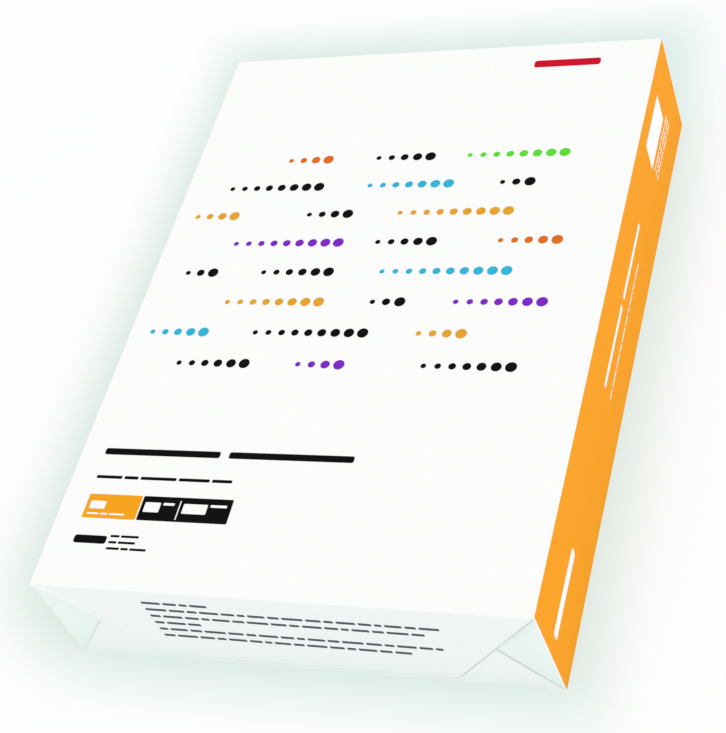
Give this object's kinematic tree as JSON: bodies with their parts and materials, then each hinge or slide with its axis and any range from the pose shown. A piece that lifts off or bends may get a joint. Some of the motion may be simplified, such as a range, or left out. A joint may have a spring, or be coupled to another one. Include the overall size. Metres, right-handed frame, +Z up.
{
  "type": "ream of paper",
  "caption": "Sealed, paper-wrapped pack of A4 office paper with parcel-folded ends, lying flat on its back.",
  "frame": {"origin": "middle of the face that the pack lies on, at the bottom centre of its box", "axes": "+Z up out of the label face, +Y along the pack away from the end with the small print, +X towards the coloured long side of the picture"},
  "size_m": [0.211, 0.299, 0.0544],
  "materials": {
    "wrapper": "white wrapping paper with a thin coating, soft sheen, printed in flat colours on the label face and one long side"
  },
  "bodies": {
    "root": {"paper_ream": "wrapper"}
  },
  "joints": []
}
